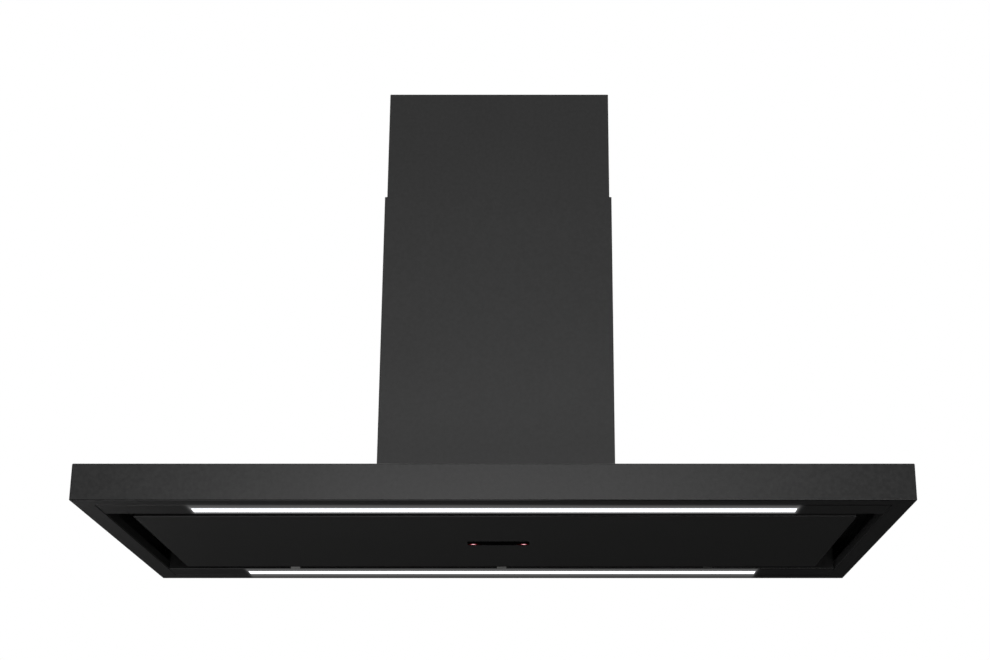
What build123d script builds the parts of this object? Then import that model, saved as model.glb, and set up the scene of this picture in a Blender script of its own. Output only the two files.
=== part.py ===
from build123d import *
import math
import os

os.makedirs("parts", exist_ok=True)

# An island chimney hood in black coated sheet steel, hung from the ceiling.
# The origin is the centre of the ceiling plate's upper face, +Z is up, and the
# front faces -Y. All sizes are in millimetres.

# Canopy
canopy_width = 1200.0
canopy_depth = 600.0
canopy_height = 54.0
canopy_sheet = 1.2
canopy_bend = 2.0
lip_width = 30.0
lip_hem = 14.0

# Chimney: two square tubes, the upper one sliding inside the lower one
chimney_side = 358.0
chimney_sheet = 1.0
chimney_bend = 1.6
chimney_play = 2.25
lower_chimney_length = 465.0
upper_chimney_shown = 181.0
upper_chimney_overlap = 249.0
seam_gap = 0.4
seam_tongue = 18.0
chimney_tab_width = 80.0
chimney_tab_reach = 13.0

# Recirculation slots in the sides of the upper chimney
vent_count = 6
vent_width = 3.6
vent_length = 46.0
vent_pitch = 13.0
vent_drop = 74.0
vent_offset = 82.0

# Height adjustment of the frame, counted from the height that is shown
raise_travel = 120.0
lower_travel = 180.0

# Support frame
ceiling_sheet = 2.5
ceiling_flange = 28.0
ceiling_duct_radius = 116.0
ceiling_bolt_spacing = 220.0
ceiling_bolt_radius = 4.5
ceiling_cable_radius = 7.0
leg_sheet = 2.0
leg_flange = 25.0
leg_inset = 8.75
leg_play = 0.3
upper_foot = 30.0
lower_foot = 12.0
lower_leg_length = 440.0
bolt_radius = 3.0
bolt_head_radius = 5.5
bolt_head_height = 3.6
bolt_pitch = 20.0
nut_height = 5.0
nut_across_corners = 11.5
slot_play = 0.4

# Small screws
screw_radius = 2.0
screw_head_radius = 3.7
screw_head_height = 2.0
screw_point = 3.0

# Light bars behind the front and rear lips
bar_width = 57.0
bar_sheet = 1.0
bar_bend = 2.0
bar_gap = 0.8
bar_outer_flange = 12.0
bar_foot = 14.0
lens_end_inset = 132.5
lens_width = 22.0
lens_play = 0.2
lens_shoulder = 3.0
lens_shoulder_height = 2.0
lens_shift_back = 4.5
led_module_height = 12.0
led_module_wall = 2.0

# Perimeter panel
panel_side_gap = 36.0
panel_front_gap = 18.0
panel_rear_gap = 22.0
panel_thickness = 15.0
panel_sheet = 1.0
panel_bend = 1.6
liner_sheet = 0.8
bead_columns = 3
bead_rows = 3
bead_gap = 42.0
bead_margin = 72.0
bead_width = 16.0
bead_height = 2.0
panel_hinge_inset = 181.0

# Panel hinges
hinge_axis_setback = 11.0
hinge_axis_height = 9.0
hinge_eye_radius = 5.0
hinge_pin_radius = 2.0
hinge_ear = 3.0
hinge_width = 16.0
hinge_side_play = 0.3
running_play = 0.06
hinge_arm_height = 3.0
hinge_arm_reach = 12.0
hinge_back_height = 20.0
hinge_back_sheet = 1.5

# Magnets that hold the panel shut
magnet_end_inset = 104.0
magnet_radius = 7.0
magnet_height = 3.0
magnet_air_gap = 0.3
magnet_inset = 9.0
holder_width = 22.0
holder_sheet = 1.6
holder_bend = 2.6

# Gesture sensor in the middle of the panel
sensor_length = 98.0
sensor_width = 30.0
sensor_glass = 2.0
sensor_rim = 4.0
sensor_wall = 1.0
sensor_box_height = 9.0

# Grease filters
tray_width = 546.0
tray_setback = 15.0
tray_sheet = 1.0
tray_floor_height = 30.0
tray_flange = 12.0
tray_ledge = 7.0
tray_divider = 8.0
filter_play = 0.5
filter_thickness = 9.0
filter_rail = 12.0
filter_corner = 4.0
mesh_thickness = 4.0
mesh_grip = 5.0
mesh_columns = 8
mesh_rows = 9
mesh_cell_fill = 0.72

# Sliding latch in the front rail of each filter
latch_width = 60.0
latch_length = 13.0
latch_height = 5.0
latch_play = 0.3
latch_travel = 8.0
latch_wall = 1.0
latch_tongue_width = 24.0
latch_tongue_reach = 5.0
latch_tongue_height = 2.0
latch_grip_depth = 6.0
latch_grip_sheet = 3.0

# Airbox over the canopy, with the blower hanging in it
airbox_margin = 29.0
airbox_headroom = 26.0
airbox_sheet = 1.0
airbox_flange = 8.0

# Blower: double-inlet scroll, axis along X
scroll_wall = 2.0
scroll_width = 132.0
scroll_setback = 32.0
scroll_growth = 34.0
scroll_tongue_angle = 70.0
scroll_axis_y = -40.0
scroll_foot_gap = 2.0
scroll_rim = 5.0
scroll_rim_half = 2.0
inlet_step = 14.0
inlet_lip = 5.0
impeller_play = 9.0
impeller_width = 112.0
blade_count = 30
blade_depth = 13.0
blade_sheet = 1.0
blade_sag = 2.6
impeller_ring = 2.5
impeller_disc = 2.0
hub_radius = 12.0
hub_length = 26.0
shaft_radius = 4.0
motor_air_gap = 18.0
motor_edge = 4.0
motor_gap = 6.0
motor_nose_radius = 14.0
motor_nose_length = 4.0
shaft_engagement = 20.0
bracket_sheet = 2.0
bracket_arm_width = 16.0
bracket_arms = 3
bracket_overhang = 7.0
bracket_foot = 12.0
bracket_play = 0.3
bracket_screw_point = 1.0

# Outlet collar with its backdraught damper
collar_wall = 1.5
collar_radius = 74.5
collar_flange = 8.0
collar_loft_height = 40.0
collar_spigot = 45.0
damper_height = 20.0
damper_sheet = 1.2
damper_rim_play = 1.5
damper_pin_radius = 1.5
damper_eye_radius = 3.2
damper_eye_length = 8.0
damper_eye_pitch = 10.0
damper_root = 4.0
damper_stop_reach = 5.0
damper_stop_width = 24.0
damper_stop_height = 2.0
damper_rest_gap = 0.1

# Control box on the front of the airbox, with the mains gland on its top
control_width = 190.0
control_height = 140.0
control_play = 6.0
control_wall = 2.0
control_lift = 22.0
gland_offset = 62.0
gland_bore_radius = 4.5
gland_body_radius = 8.0
gland_thread_radius = 7.0
gland_hex_radius = 10.0
gland_hex_height = 5.0
gland_length = 24.0

# Heights and places that follow from the sizes above
lower_chimney_top = -upper_chimney_shown
canopy_top = lower_chimney_top - lower_chimney_length
canopy_bottom = canopy_top - canopy_height
canopy_ceiling = canopy_top - canopy_sheet
upper_chimney_side = chimney_side - 2 * (chimney_sheet + chimney_play)
upper_chimney_length = upper_chimney_shown + upper_chimney_overlap
mouth_width = canopy_width - 2 * lip_width
mouth_depth = canopy_depth - 2 * lip_width
airbox_side = chimney_side - 2 * airbox_margin
intake_side = airbox_side - 2 * airbox_flange
lens_length = mouth_width - 2 * lens_end_inset
bar_outside = mouth_depth / 2 - bar_gap
bar_inside = mouth_depth / 2 - bar_width
leg_outside = upper_chimney_side / 2 - chimney_sheet - leg_inset
lower_leg_outside = leg_outside - leg_sheet - leg_play
lower_leg_flange = leg_flange - leg_sheet - leg_play
control_back = -airbox_side / 2
control_depth = chimney_side / 2 - chimney_sheet + control_back - control_play
gland_y = control_back - control_depth / 2
foot_screw_x = lower_leg_outside + lower_foot / 2
foot_screw_y = lower_leg_outside - lower_leg_flange / 2
airbox_screw_place = airbox_side / 2 + airbox_flange / 2
tab_screw_y = chimney_side / 2 - chimney_sheet - chimney_tab_reach / 2
tab_screw_x = chimney_tab_width / 4
corner_turns = {"rear_right": 0, "rear_left": 90, "front_left": 180, "front_right": 270}

# Screws that go down through the canopy's top sheet: leg feet, airbox and chimney tabs
foot_screw_places = [
    Location((0, 0, 0), (0, 0, turn)) * Location((foot_screw_x, foot_screw_y, canopy_top + leg_sheet))
    for turn in corner_turns.values()
]
airbox_screw_places = [
    Location((0, 0, 0), (0, 0, turn)) * Location((airbox_screw_place, 0, canopy_top + airbox_sheet))
    for turn in corner_turns.values()
]
tab_screw_places = [
    Location((x, y, canopy_top + chimney_sheet))
    for x in (-tab_screw_x, tab_screw_x)
    for y in (-tab_screw_y, tab_screw_y)
]
canopy_screw_places = foot_screw_places + airbox_screw_places + tab_screw_places


def save(piece, name):
    piece.part.label = name
    export_step(piece.part, f"parts/{name}.step")


def pan_screw(radius, length, head_radius, head_height):
    """A pan-head screw whose head seats at the origin and whose shank points down."""
    with BuildPart() as screw:
        Cylinder(head_radius, head_height, align=(Align.CENTER, Align.CENTER, Align.MIN))
        fillet(screw.faces().sort_by(Axis.Z)[-1].edges(), radius=head_height / 2)
        Cylinder(radius, length, align=(Align.CENTER, Align.CENTER, Align.MAX))
        with BuildSketch(Plane.XY.offset(head_height)):
            RegularPolygon(radius * 0.8, 6)
        extrude(amount=-head_height * 0.6, mode=Mode.SUBTRACT)
    return screw.part


def screw_holes(places, radius, depth):
    with Locations(*places):
        Cylinder(radius, 2 * depth, mode=Mode.SUBTRACT)


# Canopy: a folded tray, open below, with a return lip and an upturned hem all round
with BuildPart() as canopy_shell:
    with BuildSketch(Plane.XY.offset(canopy_bottom)):
        RectangleRounded(canopy_width, canopy_depth, canopy_bend)
    extrude(amount=canopy_height)
    fillet(canopy_shell.faces().filter_by(Axis.Z).edges(), radius=canopy_bend * 0.9)
    with BuildSketch(Plane.XY.offset(canopy_bottom + canopy_sheet)):
        RectangleRounded(
            canopy_width - 2 * canopy_sheet,
            canopy_depth - 2 * canopy_sheet,
            canopy_bend - canopy_sheet,
        )
    extrude(amount=canopy_height - 2 * canopy_sheet, mode=Mode.SUBTRACT)
    with BuildSketch(Plane.XY.offset(canopy_bottom)):
        Rectangle(mouth_width, mouth_depth)
    extrude(amount=canopy_sheet, mode=Mode.SUBTRACT)
    with BuildSketch(Plane.XY.offset(canopy_bottom)):
        Rectangle(mouth_width + 2 * canopy_sheet, mouth_depth + 2 * canopy_sheet)
        Rectangle(mouth_width, mouth_depth, mode=Mode.SUBTRACT)
    extrude(amount=lip_hem)
    fillet(canopy_shell.faces().sort_by(Axis.Z)[0].inner_wires().edges(), radius=canopy_bend * 0.9)
    with BuildSketch(Plane.XY.offset(canopy_ceiling)):
        RectangleRounded(intake_side, intake_side, 4 * canopy_bend)
    extrude(amount=canopy_sheet, mode=Mode.SUBTRACT)
    screw_holes(canopy_screw_places, screw_radius, canopy_sheet + leg_sheet + screw_point)
save(canopy_shell, "canopy_shell")


def light_bar(side):
    """A folded channel from the lip to the panel gap; side is -1 in front and 1 behind."""
    outside = side * bar_outside
    inside = side * bar_inside
    lens_y = side * (bar_outside + bar_inside) / 2 + lens_shift_back
    with BuildPart() as bar:
        with BuildSketch(Plane.YZ.offset(-mouth_width / 2 + bar_gap)):
            with BuildLine():
                FilletPolyline(
                    (outside, canopy_bottom + bar_outer_flange),
                    (outside, canopy_bottom),
                    (inside, canopy_bottom),
                    (inside, canopy_ceiling),
                    (inside + side * bar_foot, canopy_ceiling),
                    radius=bar_bend,
                )
                offset(amount=bar_sheet, side=Side.LEFT if side < 0 else Side.RIGHT)
            make_face()
        extrude(amount=mouth_width - 2 * bar_gap)
        with BuildSketch(Plane.XY.offset(canopy_bottom)):
            with Locations((0, lens_y)):
                Rectangle(lens_length + 2 * lens_play, lens_width + 2 * lens_play)
        extrude(amount=bar_sheet, mode=Mode.SUBTRACT)
    return bar


def lens(side):
    """The light bar's opal lens: its face is flush with the bar, its shoulders lie inside."""
    lens_y = side * (bar_outside + bar_inside) / 2 + lens_shift_back
    with BuildPart() as strip:
        with BuildSketch(Plane.XY.offset(canopy_bottom)):
            with Locations((0, lens_y)):
                Rectangle(lens_length, lens_width)
        extrude(amount=bar_sheet)
        with BuildSketch(Plane.XY.offset(canopy_bottom + bar_sheet)):
            with Locations((0, lens_y)):
                Rectangle(lens_length + 2 * lens_shoulder, lens_width + 2 * lens_shoulder)
        extrude(amount=lens_shoulder_height)
    return strip


def led_module(side):
    """An aluminium channel over the lens, with the light-emitting board on its web."""
    lens_y = side * (bar_outside + bar_inside) / 2 + lens_shift_back
    seat = canopy_bottom + bar_sheet + lens_shoulder_height
    with BuildPart() as module:
        with BuildSketch(Plane.XY.offset(seat)):
            with Locations((0, lens_y)):
                Rectangle(lens_length + 2 * lens_shoulder, lens_width + 2 * lens_shoulder)
        extrude(amount=led_module_height)
        with BuildSketch(Plane.XY.offset(seat)):
            with Locations((0, lens_y)):
                Rectangle(lens_length, lens_width + 2 * lens_shoulder - 2 * led_module_wall)
        extrude(amount=led_module_height - 2 * led_module_wall, mode=Mode.SUBTRACT)
    return module


for place, side in {"front": -1, "rear": 1}.items():
    save(light_bar(side), f"{place}_light_bar")
    save(lens(side), f"{place}_light_lens")
    save(led_module(side), f"{place}_led_module")


# Chimney halves: U-shaped folds that meet at a seam in the middle of each side
def chimney_half(outer_side, low, high, side, tongue_top):
    """One half of a square tube; the rear half carries the strips behind the seams."""
    with BuildPart() as half:
        with BuildSketch(Plane.XY.offset(low)):
            RectangleRounded(outer_side, outer_side, chimney_bend)
            RectangleRounded(
                outer_side - 2 * chimney_sheet,
                outer_side - 2 * chimney_sheet,
                chimney_bend - chimney_sheet,
                mode=Mode.SUBTRACT,
            )
            with Locations((0, side * (seam_gap - outer_side) / 2)):
                Rectangle(outer_side, outer_side, mode=Mode.SUBTRACT)
        extrude(amount=high - low)
        if side > 0:
            with BuildSketch(Plane.XY.offset(low)):
                with GridLocations(outer_side - 3 * chimney_sheet, 0, 2, 1):
                    Rectangle(chimney_sheet, 2 * seam_tongue)
            extrude(amount=tongue_top - low)
    return half.part


with BuildPart() as chimney_tab:
    with BuildSketch(Plane.XY.offset(canopy_top)):
        with Locations((0, -tab_screw_y)):
            Rectangle(chimney_tab_width, chimney_tab_reach)
    extrude(amount=chimney_sheet)
    fillet(
        chimney_tab.edges().filter_by(Axis.Z).group_by(Axis.Y)[-1],
        radius=chimney_tab_reach / 2,
    )

for place, side in {"front": -1, "rear": 1}.items():
    with BuildPart() as lower_chimney:
        add(chimney_half(chimney_side, canopy_top, lower_chimney_top, side, lower_chimney_top))
        with Locations(Location((0, 0, 0), (0, 0, 90 + side * 90))):
            add(chimney_tab.part)
        screw_holes(tab_screw_places, screw_radius, 2 * chimney_sheet)
    save(lower_chimney, f"lower_chimney_{place}")

# Screws through the sides of the upper chimney into the ceiling plate's flanges
upper_screw_places = [
    Location((x * upper_chimney_side / 2, y, -ceiling_flange / 2), (0, x * 90, 0))
    for x in (-1, 1)
    for y in (-vent_offset, vent_offset)
]

for place, side in {"front": -1, "rear": 1}.items():
    with BuildPart() as upper_chimney:
        add(chimney_half(upper_chimney_side, -upper_chimney_length, 0, side, -ceiling_flange - seam_tongue))
        screw_holes(upper_screw_places, screw_radius, 2 * chimney_sheet)
        with BuildSketch(Plane.YZ):
            with Locations((side * vent_offset, -vent_drop)):
                with GridLocations(vent_pitch, 0, vent_count, 1):
                    SlotOverall(vent_length, vent_width, rotation=90)
        extrude(amount=upper_chimney_side, both=True, mode=Mode.SUBTRACT)
    save(upper_chimney, f"upper_chimney_{place}")

# Ceiling plate: a flat tray, open below, with the duct opening, four fixing holes and an
# entry for the mains lead straight above its gland
ceiling_plate_side = upper_chimney_side - 2 * chimney_sheet - 2 * leg_play
upper_foot_center = leg_outside - upper_foot / 2
upper_foot_places = [
    Location((x * upper_foot_center, y * upper_foot_center, -ceiling_sheet - leg_sheet), (180, 0, 0))
    for x in (-1, 1)
    for y in (-1, 1)
]

with BuildPart() as ceiling_plate:
    with BuildSketch():
        RectangleRounded(ceiling_plate_side, ceiling_plate_side, ceiling_sheet + chimney_bend)
    extrude(amount=-ceiling_flange)
    offset(amount=-ceiling_sheet, openings=ceiling_plate.faces().sort_by(Axis.Z)[0])
    with BuildSketch(Plane.XY.offset(-ceiling_sheet)):
        Circle(ceiling_duct_radius)
        with GridLocations(ceiling_bolt_spacing, ceiling_bolt_spacing, 2, 2):
            Circle(ceiling_bolt_radius)
        with Locations((gland_offset, gland_y)):
            Circle(ceiling_cable_radius)
    extrude(amount=ceiling_sheet, mode=Mode.SUBTRACT)
    screw_holes(upper_foot_places, bolt_radius, 2 * ceiling_sheet)
    screw_holes(upper_screw_places, screw_radius, 2 * ceiling_sheet)
save(ceiling_plate, "ceiling_plate")

with BuildPart() as upper_frame_screws:
    with Locations(*upper_foot_places):
        add(pan_screw(bolt_radius, leg_sheet + 0.8 * ceiling_sheet, bolt_head_radius, bolt_head_height))
save(upper_frame_screws, "upper_frame_screws")

with BuildPart() as upper_chimney_screws:
    with Locations(*upper_screw_places):
        add(pan_screw(screw_radius, ceiling_sheet + screw_point, screw_head_radius, screw_head_height))
save(upper_chimney_screws, "upper_chimney_screws")

# Frame legs: the lower angles nest inside the upper ones, and bolts clamp them in long slots
bolt_line = leg_outside - leg_flange / 2
top_bolt = canopy_top + lower_leg_length - bolt_pitch
bottom_bolt = top_bolt - bolt_pitch
slot_top = top_bolt + raise_travel
slot_bottom = bottom_bolt - lower_travel
upper_leg_bottom = slot_bottom - bolt_pitch

with BuildPart() as upper_leg_blank:
    with BuildSketch(Plane.XY.offset(upper_leg_bottom)):
        with Locations((leg_outside, leg_outside)):
            Rectangle(leg_flange, leg_flange, align=Align.MAX)
        with Locations((leg_outside - leg_sheet, leg_outside - leg_sheet)):
            Rectangle(leg_flange, leg_flange, align=Align.MAX, mode=Mode.SUBTRACT)
    extrude(amount=-ceiling_sheet - upper_leg_bottom)
    with BuildSketch(Plane.XY.offset(-ceiling_sheet)):
        with Locations((leg_outside, leg_outside)):
            Rectangle(upper_foot, upper_foot, align=Align.MAX)
    extrude(amount=-leg_sheet)
    with BuildSketch(Plane.YZ.offset(leg_outside)):
        with Locations((bolt_line, (slot_top + slot_bottom) / 2)):
            SlotOverall(
                slot_top - slot_bottom + 2 * (bolt_radius + slot_play),
                2 * (bolt_radius + slot_play),
                rotation=90,
            )
    extrude(amount=-leg_sheet, mode=Mode.SUBTRACT)
    screw_holes(upper_foot_places, bolt_radius, 2 * leg_sheet)

with BuildPart() as lower_leg_blank:
    with BuildSketch(Plane.XY.offset(canopy_top)):
        with Locations((lower_leg_outside, lower_leg_outside)):
            Rectangle(lower_leg_flange, lower_leg_flange, align=Align.MAX)
        with Locations((lower_leg_outside - leg_sheet, lower_leg_outside - leg_sheet)):
            Rectangle(lower_leg_flange, lower_leg_flange, align=Align.MAX, mode=Mode.SUBTRACT)
    extrude(amount=lower_leg_length)
    with BuildSketch(Plane.XY.offset(canopy_top)):
        with Locations((foot_screw_x, foot_screw_y)):
            Rectangle(lower_foot, lower_leg_flange)
    extrude(amount=leg_sheet)
    screw_holes(foot_screw_places, screw_radius, 2 * leg_sheet)
    with BuildSketch(Plane.YZ.offset(lower_leg_outside)):
        with Locations((bolt_line, top_bolt), (bolt_line, bottom_bolt)):
            Circle(bolt_radius)
    extrude(amount=-leg_sheet, mode=Mode.SUBTRACT)

for corner, turn in corner_turns.items():
    with BuildPart() as upper_leg:
        with Locations(Location((0, 0, 0), (0, 0, turn))):
            add(upper_leg_blank.part)
    save(upper_leg, f"upper_leg_{corner}")
    with BuildPart() as lower_leg:
        with Locations(Location((0, 0, 0), (0, 0, turn))):
            add(lower_leg_blank.part)
    save(lower_leg, f"lower_leg_{corner}")

bolt_seat = leg_outside + slot_play / 2
nut_seat = lower_leg_outside - leg_sheet
frame_bolt_places = [
    Location((0, 0, 0), (0, 0, turn)) * Location((bolt_seat, bolt_line, height), (0, 90, 0))
    for turn in corner_turns.values()
    for height in (bottom_bolt, top_bolt)
]
frame_nut_places = [
    Location((0, 0, 0), (0, 0, turn)) * Location((nut_seat, bolt_line, height), (0, -90, 0))
    for turn in corner_turns.values()
    for height in (bottom_bolt, top_bolt)
]

with BuildPart() as frame_bolts:
    with Locations(*frame_bolt_places):
        add(pan_screw(bolt_radius, bolt_seat - nut_seat + nut_height, bolt_head_radius, bolt_head_height))
save(frame_bolts, "frame_bolts")

with BuildPart() as frame_nut:
    with BuildSketch():
        RegularPolygon(nut_across_corners / 2, 6)
        Circle(bolt_radius, mode=Mode.SUBTRACT)
    extrude(amount=nut_height)

with BuildPart() as frame_nuts:
    with Locations(*frame_nut_places):
        add(frame_nut.part)
save(frame_nuts, "frame_nuts")

with BuildPart() as canopy_screws:
    with Locations(*canopy_screw_places):
        add(
            pan_screw(
                screw_radius,
                canopy_sheet + leg_sheet + screw_point,
                screw_head_radius,
                screw_head_height,
            )
        )
save(canopy_screws, "canopy_screws")

# Perimeter panel: a shallow pan hinged along its rear edge, lined with a beaded sheet
panel_width = mouth_width - 2 * panel_side_gap
panel_front = panel_front_gap - bar_inside
panel_rear = bar_inside - panel_rear_gap
panel_depth = panel_rear - panel_front
panel_center = (panel_front + panel_rear) / 2
panel_top = canopy_bottom + panel_thickness
hinge_y = bar_inside - hinge_axis_setback
hinge_z = canopy_bottom + hinge_axis_height
hinge_reach = panel_width / 2 - panel_hinge_inset
hinge_places = {"left": -hinge_reach, "middle": 0.0, "right": hinge_reach}

with BuildPart() as perimeter_panel:
    with BuildSketch(Plane.XY.offset(canopy_bottom)):
        with Locations((0, panel_center)):
            RectangleRounded(panel_width, panel_depth, panel_bend)
    extrude(amount=panel_thickness)
    fillet(perimeter_panel.faces().sort_by(Axis.Z)[0].edges(), radius=panel_bend * 0.9)
    offset(amount=-panel_sheet, openings=perimeter_panel.faces().sort_by(Axis.Z)[-1])
    with BuildSketch(Plane.XY.offset(canopy_bottom)):
        with Locations((0, panel_center)):
            RectangleRounded(sensor_length + 2 * lens_play, sensor_width + 2 * lens_play, sensor_rim)
    extrude(amount=panel_sheet, mode=Mode.SUBTRACT)
save(perimeter_panel, "perimeter_panel")

arm_half_width = hinge_width / 2 - hinge_ear - hinge_side_play
hinge_center_places = [Location((x, 0, 0)) for x in hinge_places.values()]

# Hinge arm: reaches over the panel's rear flange and down to the pin
with BuildPart() as hinge_arm:
    with BuildSketch(Plane.YZ.offset(-arm_half_width)):
        with Locations((panel_rear - hinge_arm_reach, panel_top)):
            Rectangle(
                hinge_y + hinge_eye_radius - panel_rear + hinge_arm_reach,
                hinge_arm_height,
                align=Align.MIN,
            )
        with Locations((hinge_y - hinge_eye_radius, hinge_z)):
            Rectangle(2 * hinge_eye_radius, panel_top - hinge_z, align=Align.MIN)
        with Locations((hinge_y, hinge_z)):
            Circle(hinge_eye_radius)
            Circle(hinge_pin_radius + running_play, mode=Mode.SUBTRACT)
    extrude(amount=2 * arm_half_width)

bead_length = (panel_width - 2 * bead_margin - (bead_columns - 1) * bead_gap) / bead_columns
bead_row_pitch = panel_depth / (bead_rows + 0.6)
with BuildPart() as panel_liner:
    with BuildSketch(Plane.XY.offset(panel_top - liner_sheet)):
        with Locations((0, panel_center)):
            RectangleRounded(
                panel_width - 2 * panel_sheet,
                panel_depth - 2 * panel_sheet,
                panel_bend - panel_sheet,
            )
    extrude(amount=liner_sheet)
    with BuildSketch(Plane.XY.offset(panel_top - liner_sheet)):
        with Locations((0, panel_center)):
            with GridLocations(bead_length + bead_gap, bead_row_pitch, bead_columns, bead_rows):
                SlotOverall(bead_length, bead_width)
    extrude(amount=bead_height + liner_sheet)
    with BuildSketch(Plane.XY.offset(panel_top - liner_sheet)):
        with Locations((0, panel_center)):
            with GridLocations(bead_length + bead_gap, bead_row_pitch, bead_columns, bead_rows):
                SlotOverall(bead_length - 2 * liner_sheet, bead_width - 2 * liner_sheet)
    extrude(amount=bead_height, mode=Mode.SUBTRACT)
    with Locations(*hinge_center_places):
        add(hinge_arm.part)
save(panel_liner, "panel_liner")

# Hinge brackets on the rear light bar: a back plate with two ears each
for place, hinge_x in hinge_places.items():
    with BuildPart() as hinge_bracket:
        with BuildSketch(Plane.YZ.offset(hinge_x - hinge_width / 2)):
            with Locations((hinge_y, hinge_z)):
                Circle(hinge_eye_radius)
            with Locations((hinge_y, hinge_z - hinge_eye_radius)):
                Rectangle(bar_inside - hinge_y, 2 * hinge_eye_radius, align=Align.MIN)
        extrude(amount=hinge_width)
        with Locations((hinge_x, hinge_y - hinge_eye_radius, hinge_z)):
            Box(
                hinge_width - 2 * hinge_ear,
                bar_inside - hinge_y + hinge_eye_radius - hinge_back_sheet,
                4 * hinge_eye_radius,
                align=(Align.CENTER, Align.MIN, Align.CENTER),
                mode=Mode.SUBTRACT,
            )
        with Locations((hinge_x, bar_inside, hinge_z - hinge_eye_radius)):
            Box(
                hinge_width,
                hinge_back_sheet,
                hinge_back_height,
                align=(Align.CENTER, Align.MAX, Align.MIN),
            )
        with BuildSketch(Plane.YZ.offset(hinge_x)):
            with Locations((hinge_y, hinge_z)):
                Circle(hinge_pin_radius)
        extrude(amount=hinge_width, both=True, mode=Mode.SUBTRACT)
    save(hinge_bracket, f"hinge_bracket_{place}")

with BuildPart() as hinge_pins:
    with BuildSketch(Plane.YZ):
        with Locations((hinge_y, hinge_z)):
            Circle(hinge_pin_radius)
    extrude(amount=hinge_width / 2, both=True)
    hinge_pin = hinge_pins.part
with BuildPart() as hinge_pin_group:
    with Locations(*hinge_center_places):
        add(hinge_pin)
save(hinge_pin_group, "hinge_pins")

# Magnet holders on the front light bar, reaching over the panel's front flange
magnet_x = panel_width / 2 - magnet_end_inset
magnet_y = panel_front + magnet_inset
magnet_bottom = panel_top + magnet_air_gap
holder_bottom = magnet_bottom + magnet_height
for place, side in {"left": -1, "right": 1}.items():
    with BuildPart() as magnet_holder:
        with BuildSketch(Plane.YZ.offset(side * magnet_x - holder_width / 2)):
            with BuildLine():
                FilletPolyline(
                    (magnet_y + magnet_radius, holder_bottom),
                    (-bar_inside, holder_bottom),
                    (-bar_inside, canopy_ceiling - bar_sheet),
                    radius=holder_bend,
                )
                offset(amount=holder_sheet, side=Side.RIGHT)
            make_face()
        extrude(amount=holder_width)
    save(magnet_holder, f"magnet_holder_{place}")

with BuildPart() as panel_magnets:
    with Locations((-magnet_x, magnet_y, magnet_bottom), (magnet_x, magnet_y, magnet_bottom)):
        Cylinder(magnet_radius, magnet_height, align=(Align.CENTER, Align.CENTER, Align.MIN))
save(panel_magnets, "panel_magnets")

# Gesture sensor: a dark window in the panel's face, with its electronics box behind
with BuildPart() as sensor_window:
    with BuildSketch(Plane.XY.offset(canopy_bottom)):
        with Locations((0, panel_center)):
            RectangleRounded(sensor_length, sensor_width, sensor_rim)
    extrude(amount=panel_sheet)
    with BuildSketch(Plane.XY.offset(canopy_bottom + panel_sheet)):
        with Locations((0, panel_center)):
            RectangleRounded(sensor_length + 2 * sensor_rim, sensor_width + 2 * sensor_rim, sensor_rim)
    extrude(amount=sensor_glass)
save(sensor_window, "sensor_window")

sensor_seat = canopy_bottom + panel_sheet + sensor_glass
with BuildPart() as sensor_housing:
    with BuildSketch(Plane.XY.offset(sensor_seat)):
        with Locations((0, panel_center)):
            RectangleRounded(sensor_length + 2 * sensor_rim, sensor_width + 2 * sensor_rim, sensor_rim)
    extrude(amount=sensor_box_height)
    offset(amount=-sensor_wall, openings=sensor_housing.faces().sort_by(Axis.Z)[0])
save(sensor_housing, "sensor_housing")

# Filter tray: a skirt under the canopy's top sheet, with a rear ledge and a middle divider
tray_floor = canopy_bottom + tray_floor_height
tray_depth = chimney_side - 2 * tray_setback
with BuildPart() as filter_tray:
    with BuildSketch(Plane.XY.offset(tray_floor)):
        Rectangle(tray_width, tray_depth)
        Rectangle(tray_width - 2 * tray_sheet, tray_depth - 2 * tray_sheet, mode=Mode.SUBTRACT)
        Rectangle(tray_divider, tray_depth - tray_sheet)
    extrude(amount=canopy_ceiling - tray_floor)
    with BuildSketch(Plane.XY.offset(canopy_ceiling)):
        RectangleRounded(tray_width + 2 * tray_flange, tray_depth + 2 * tray_flange, tray_flange / 2)
        Rectangle(tray_width - 2 * tray_sheet, tray_depth - 2 * tray_sheet, mode=Mode.SUBTRACT)
    extrude(amount=-tray_sheet)
    # The divider stands clear of the air path above the filters
    with Locations((0, 0, tray_floor + tray_sheet + filter_thickness + filter_play)):
        Box(
            tray_divider,
            tray_depth - 2 * tray_sheet,
            canopy_height,
            align=(Align.CENTER, Align.CENTER, Align.MIN),
            mode=Mode.SUBTRACT,
        )
    with BuildSketch(Plane.XY.offset(tray_floor)):
        with Locations((0, tray_depth / 2)):
            Rectangle(tray_width, tray_ledge + tray_sheet, align=(Align.CENTER, Align.MAX))
    extrude(amount=tray_sheet)
    screw_holes(canopy_screw_places, screw_radius, canopy_sheet + leg_sheet + screw_point)

bay_width = (tray_width - 2 * tray_sheet - tray_divider) / 2
bay_center = (bay_width + tray_divider) / 2
filter_width = bay_width - 2 * filter_play
filter_depth = tray_depth - 2 * tray_sheet - 2 * filter_play
filter_bottom = tray_floor + tray_sheet
filter_front = -filter_depth / 2
filter_front_rail = 2 * latch_play + latch_length + latch_travel + latch_wall + mesh_grip
mesh_open_width = filter_width - 2 * filter_rail
mesh_open_depth = filter_depth - filter_rail - filter_front_rail
mesh_center = (filter_front_rail - filter_rail) / 2
mesh_bottom = filter_bottom + (filter_thickness - mesh_thickness) / 2
latch_front = filter_front + latch_play
tongue_bottom = filter_bottom + (latch_height - latch_tongue_height) / 2

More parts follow.
